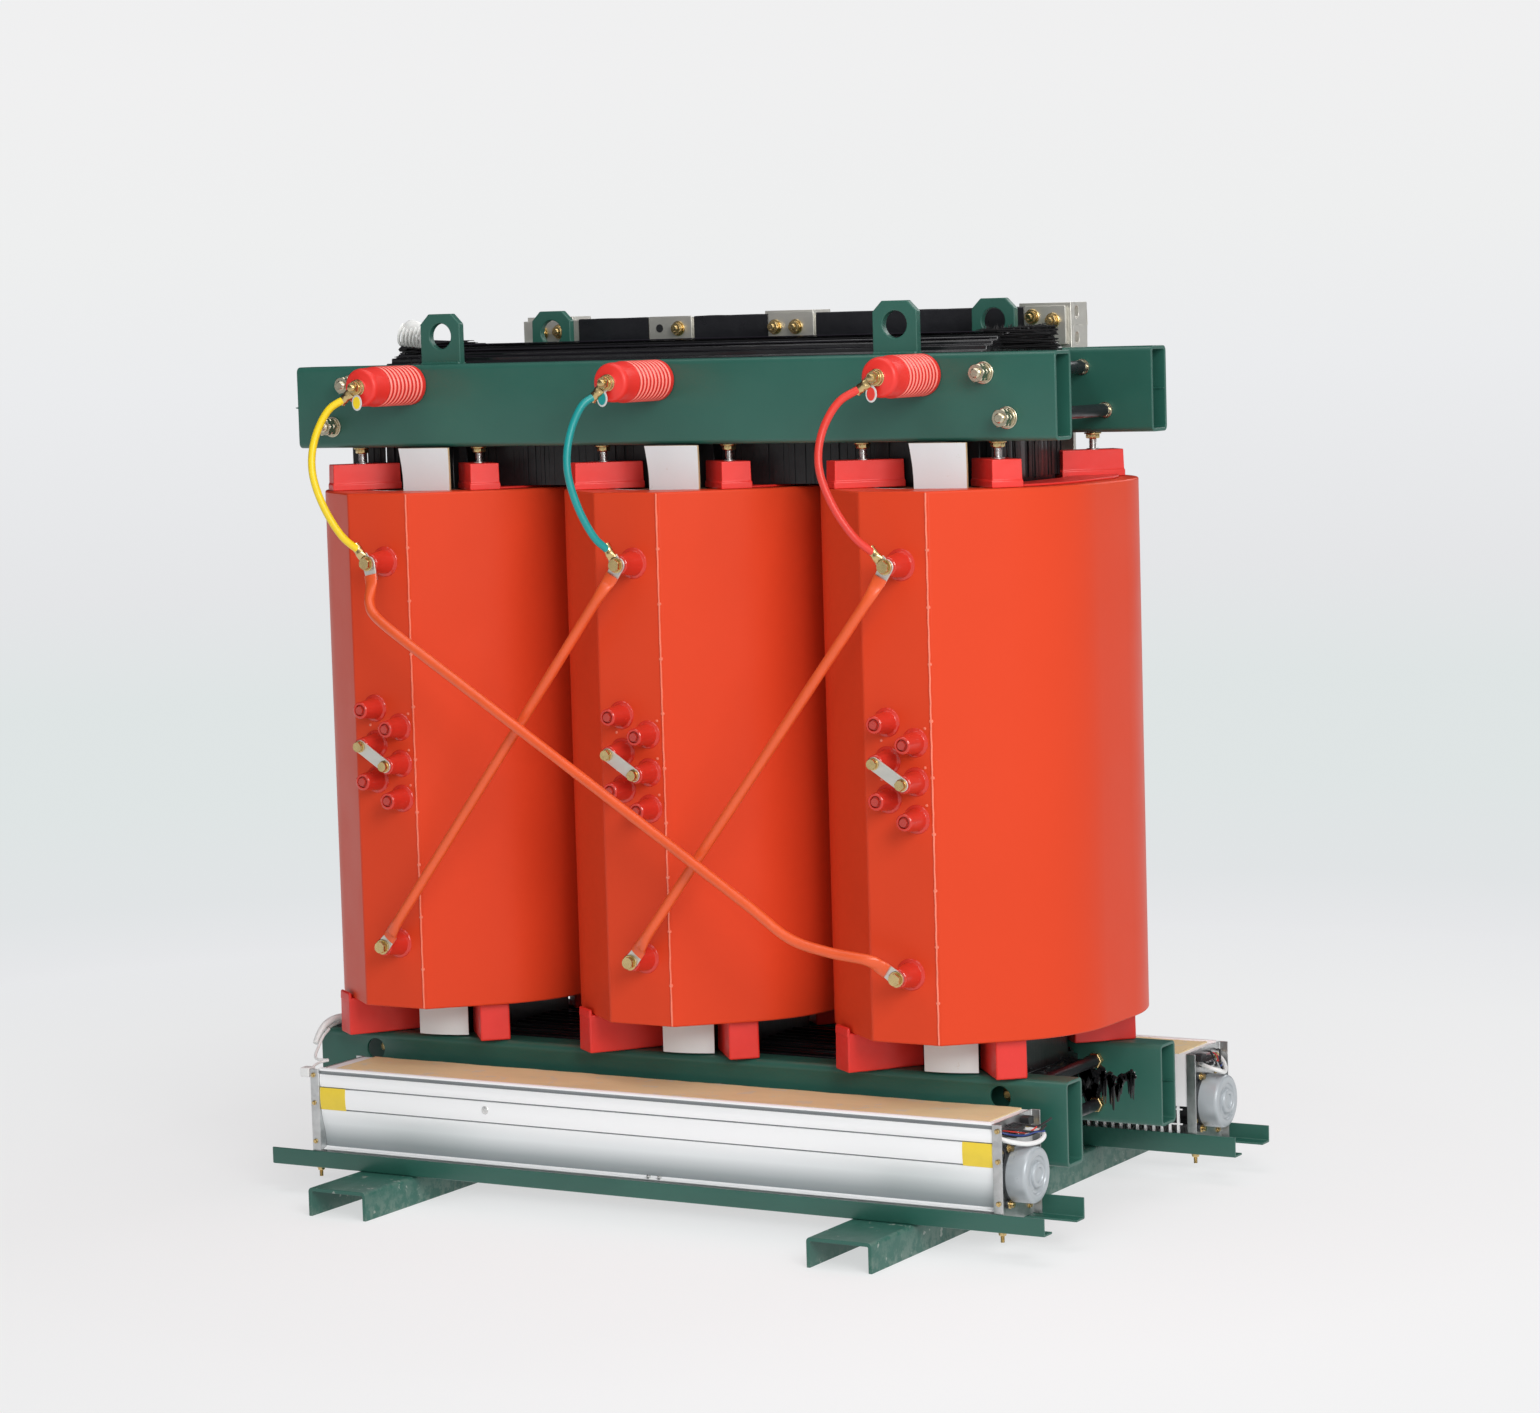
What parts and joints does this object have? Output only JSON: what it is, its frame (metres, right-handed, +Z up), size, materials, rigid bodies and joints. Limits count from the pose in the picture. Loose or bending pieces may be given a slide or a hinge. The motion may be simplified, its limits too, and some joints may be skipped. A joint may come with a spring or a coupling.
{
  "type": "cast resin dry type power transformer",
  "caption": "Dry-type power transformer: oval cast-resin coils on a clamped laminated core, with post insulators, delta links, tap links, a low-voltage bar and cross-flow cooling fans.",
  "frame": {"origin": "centre of the overall extents in X and Y, on the floor under the base channels", "axes": "+X along the row of coils towards the fan motors, -Y is the high-voltage side with the post insulators, +Z up"},
  "size_m": [1.3306, 0.8972, 1.306],
  "materials": {
    "core_varnish": "stacked steel laminations under black varnish",
    "green_paint": "satin dark green paint on steel",
    "zinc_steel": "yellow zinc plate",
    "orange_resin": "glossy orange-red cast epoxy resin",
    "lv_winding": "aluminium foil winding under dark brown resin",
    "white_board": "white laminate board",
    "red_moulding": "red moulded epoxy",
    "cable_yellow": "yellow cable insulation",
    "cable_teal": "blue-green cable insulation",
    "cable_red": "red cable insulation",
    "orange_tube": "orange-red sleeve over a round conductor",
    "tinned_copper": "tinned copper",
    "black_sleeve": "copper bar in a black sleeve with bare tinned parts",
    "fan_aluminium": "bright extruded aluminium",
    "galvanised_sheet": "galvanised sheet steel",
    "motor_grey": "grey painted motor can",
    "impeller_black": "black coated aluminium blades"
  },
  "bodies": {
    "transformer": {"core": "core_varnish", "upper_clamp_front": "green_paint", "upper_clamp_rear": "green_paint", "lower_clamp_front": "green_paint", "lower_clamp_rear": "green_paint", "base_channel_left": "green_paint", "base_channel_right": "green_paint", "fan_rail_front_outer": "green_paint", "fan_rail_front_inner": "green_paint", "fan_rail_rear_inner": "green_paint", "fan_rail_rear_outer": "green_paint", "upper_tie_rod_left_1": "zinc_steel", "upper_tie_rod_left_2": "zinc_steel", "upper_tie_rod_right_1": "zinc_steel", "upper_tie_rod_right_2": "zinc_steel", "lower_tie_rod_left_1": "zinc_steel", "lower_tie_rod_left_2": "zinc_steel", "lower_tie_rod_right_1": "zinc_steel", "lower_tie_rod_right_2": "zinc_steel", "hv_coil_a": "orange_resin", "hv_coil_b": "orange_resin", "hv_coil_c": "orange_resin", "lv_coil_a": "lv_winding", "lv_coil_b": "lv_winding", "lv_coil_c": "lv_winding", "barrier_a": "white_board", "barrier_b": "white_board", "barrier_c": "white_board", "coil_support_top_a": "red_moulding", "coil_support_top_b": "red_moulding", "coil_support_top_c": "red_moulding", "coil_support_bottom_a": "red_moulding", "coil_support_bottom_b": "red_moulding", "coil_support_bottom_c": "red_moulding", "insulator_a": "red_moulding", "insulator_b": "red_moulding", "insulator_c": "red_moulding", "hv_lead_a": "cable_yellow", "hv_lead_b": "cable_teal", "hv_lead_c": "cable_red", "delta_link_a_to_c": "orange_tube", "delta_link_b_to_a": "orange_tube", "delta_link_c_to_b": "orange_tube", "tap_link_a": "tinned_copper", "tap_link_b": "tinned_copper", "tap_link_c": "tinned_copper", "lv_bar": "black_sleeve", "lv_terminal_a": "tinned_copper", "lv_terminal_b": "tinned_copper", "lv_terminal_c": "tinned_copper", "front_fan_housing": "fan_aluminium", "front_fan_end_left": "galvanised_sheet", "front_fan_end_right": "galvanised_sheet", "front_fan_motor": "motor_grey", "rear_fan_housing": "fan_aluminium", "rear_fan_end_left": "galvanised_sheet", "rear_fan_end_right": "galvanised_sheet", "rear_fan_motor": "motor_grey"},
    "front_impeller": {"front_fan_impeller": "impeller_black"},
    "rear_impeller": {"rear_fan_impeller": "impeller_black"}
  },
  "joints": [
    {"name": "front_fan_spin", "type": "hinge", "parent": "transformer", "child": "front_impeller", "pos_m": [-0.00175, -0.26475, 0.113], "axis": [1, 0, 0], "continuous": true},
    {"name": "rear_fan_spin", "type": "hinge", "parent": "transformer", "child": "rear_impeller", "pos_m": [0.02525, 0.312, 0.113], "axis": [1, 0, 0], "continuous": true}
  ]
}
